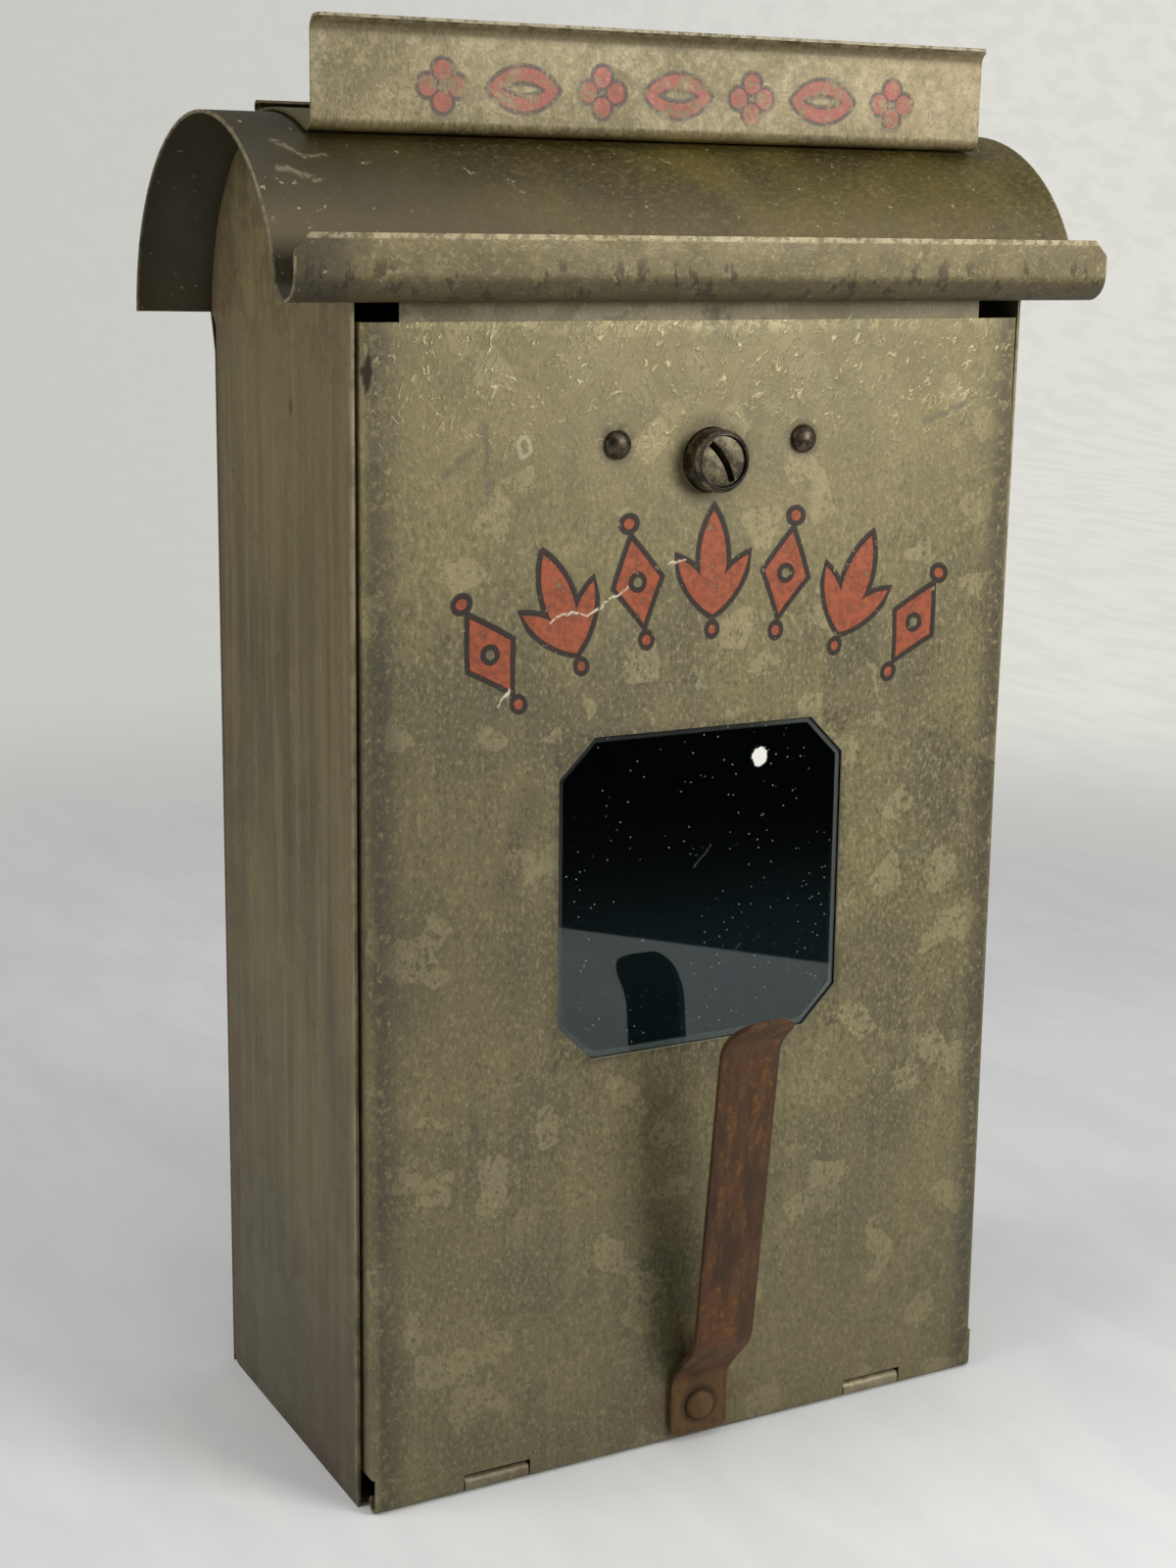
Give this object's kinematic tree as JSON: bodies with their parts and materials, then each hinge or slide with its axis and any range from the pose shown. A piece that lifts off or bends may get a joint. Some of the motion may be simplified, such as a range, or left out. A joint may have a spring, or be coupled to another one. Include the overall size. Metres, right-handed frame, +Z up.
{
  "type": "wall mailbox",
  "caption": "Upright sheet-metal wall mailbox with a barrel roof and gutter, a letter flap, a glazed locking front door and a newspaper strap.",
  "frame": {"origin": "centre of the base's underside, midway between the side panels' front and rear edges", "axes": "+X to the right as seen from the front, +Y towards the wall, +Z up"},
  "size_m": [0.2024, 0.1232, 0.3278],
  "materials": {
    "zinc_sheet": "weathered galvanised sheet, dull olive-brown",
    "door_sheet": "weathered galvanised sheet with zinc spangle and painted trim",
    "glass": "dusty dark glass",
    "lock_metal": "tarnished, dark in its recesses",
    "bare_steel": "tarnished plain steel",
    "rusted_steel": "brown rust with orange specks"
  },
  "bodies": {
    "box": {"back_and_roof": "zinc_sheet", "left_side_panel": "zinc_sheet", "right_side_panel": "zinc_sheet", "bottom_panel": "zinc_sheet", "header_strip": "zinc_sheet", "flap_hinge_pin": "bare_steel", "door_hinge_pin": "bare_steel"},
    "door": {"door": "door_sheet", "window_glass": "glass", "glass_retainer_right": "zinc_sheet", "glass_retainer_left": "zinc_sheet", "glass_retainer_bottom": "zinc_sheet", "glass_retainer_top": "zinc_sheet", "lock_plate": "bare_steel", "lock_case": "bare_steel", "lock_barrel": "lock_metal", "lock_spring": "bare_steel", "lock_rivet_left": "bare_steel", "lock_rivet_right": "bare_steel", "newspaper_strap": "rusted_steel", "strap_rivet": "rusted_steel"},
    "flap": {"letter_flap": "zinc_sheet"},
    "plug": {"lock_plug": "lock_metal"},
    "bolt": {"lock_bolt": "bare_steel"}
  },
  "joints": [
    {"name": "door_hinge", "type": "hinge", "parent": "box", "child": "door", "pos_m": [0, -0.0448, 0.00205], "axis": [1, 0, 0], "range_deg": [0, 180]},
    {"name": "flap_hinge", "type": "hinge", "parent": "box", "child": "flap", "pos_m": [0, 0.0107, 0.31006], "axis": [-1, 0, 0], "range_deg": [0, 110]},
    {"name": "plug_turn", "type": "hinge", "parent": "door", "child": "plug", "pos_m": [0, -0.04126, 0.23603], "axis": [0, -0.9999, 0.0151], "range_deg": [0, 90]},
    {"name": "bolt_slide", "type": "slide", "parent": "door", "child": "bolt", "axis": [0, 0.0151, 0.9999], "range_m": [0, 0.00651]}
  ],
  "couplings": [
    {"joint": "bolt_slide", "follows": "plug_turn", "m_per_rad": 0.0041414}
  ]
}
